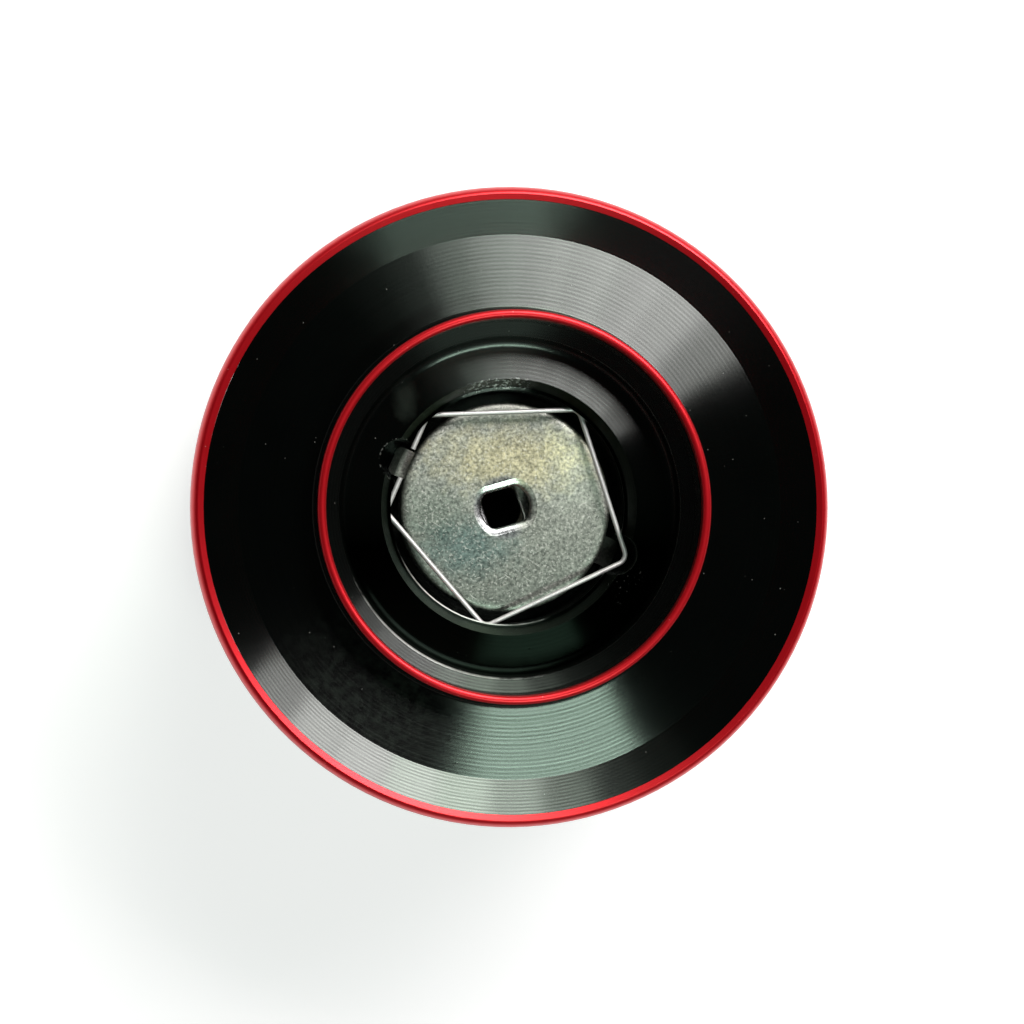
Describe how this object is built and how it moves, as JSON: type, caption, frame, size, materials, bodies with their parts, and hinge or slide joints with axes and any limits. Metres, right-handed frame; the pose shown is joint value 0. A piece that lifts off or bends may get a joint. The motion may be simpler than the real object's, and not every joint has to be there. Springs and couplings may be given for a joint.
{
  "type": "spinning reel spool",
  "caption": "Turned aluminium reel spool with red lip and collar rings, an open front drag stack held by a bent spring wire, a bearing hub, a drag clicker and a sprung line clip.",
  "frame": {"origin": "centre of the skirt rim, on the surface that the spool stands on", "axes": "+Z along the spool axis towards the front face, +X and +Y to the right and up as the front face is seen; the line clip is on the -Y side"},
  "size_m": [0.065, 0.065, 0.05],
  "materials": {
    "black_anodised": "black anodised over fine turning marks, glossy",
    "red_anodised": "red anodised, bright cut",
    "plated_steel": "zinc plated, mottled and lightly scratched",
    "spring_steel": "bright drawn wire",
    "carbon_weave": "woven carbon friction sheet",
    "ivory_plastic": "unfilled acetal",
    "bearing_steel": "ground bearing steel",
    "cage_brass": "pressed brass",
    "shield_steel": "rolled sheet",
    "black_plastic": "fine moulded grain",
    "screw_steel": "passivated"
  },
  "bodies": {
    "spool": {"spool_body": "black_anodised", "lip_ring": "red_anodised", "collar_ring": "red_anodised", "retainer_wire": "spring_steel", "drag_washer_upper": "carbon_weave", "ear_washer": "plated_steel", "drag_washer_middle": "carbon_weave", "drag_washer_lower": "carbon_weave", "hub_bush": "ivory_plastic", "bearing_outer_ring": "bearing_steel", "bearing_shields": "shield_steel", "bearing_retainer": "spring_steel", "click_plate": "black_plastic", "click_plate_screws": "screw_steel", "click_pawl_pin": "bearing_steel", "click_spring": "spring_steel", "line_clip_spring": "spring_steel"},
    "upper_key": {"key_washer_upper": "plated_steel"},
    "lower_key": {"key_washer_lower": "plated_steel"},
    "bearing_inner": {"bearing_inner_ring": "bearing_steel"},
    "ball_cage": {"bearing_balls": "bearing_steel", "bearing_cage": "cage_brass"},
    "pawl": {"click_pawl": "ivory_plastic"},
    "clip": {"line_clip": "black_plastic", "line_clip_screw": "screw_steel"}
  },
  "joints": [
    {"name": "upper_key_turn", "type": "hinge", "parent": "spool", "child": "upper_key", "pos_m": [0, 0, 0.0384], "axis": [0, 0, 1], "continuous": true},
    {"name": "lower_key_turn", "type": "hinge", "parent": "spool", "child": "lower_key", "pos_m": [0, 0, 0.0345], "axis": [0, 0, 1], "continuous": true},
    {"name": "bearing_turn", "type": "hinge", "parent": "spool", "child": "bearing_inner", "pos_m": [0, 0, 0.0275], "axis": [0, 0, 1], "continuous": true},
    {"name": "cage_turn", "type": "hinge", "parent": "spool", "child": "ball_cage", "pos_m": [0, 0, 0.0275], "axis": [0, 0, 1], "continuous": true},
    {"name": "pawl_swing", "type": "hinge", "parent": "spool", "child": "pawl", "pos_m": [0, 0.0106, 0.02325], "axis": [0, 0, 1], "range_deg": [-12, 12], "stiffness_Nm_per_rad": 0.004, "deforming": ["click_spring"]},
    {"name": "clip_lift", "type": "slide", "parent": "spool", "child": "clip", "axis": [0, -1, 0], "range_m": [0, 0.0008], "stiffness_N_per_m": 800, "springref_m": -0.001, "deforming": ["line_clip_spring"]}
  ],
  "couplings": [
    {"joint": "cage_turn", "follows": "bearing_turn", "ratio": 0.38375}
  ]
}
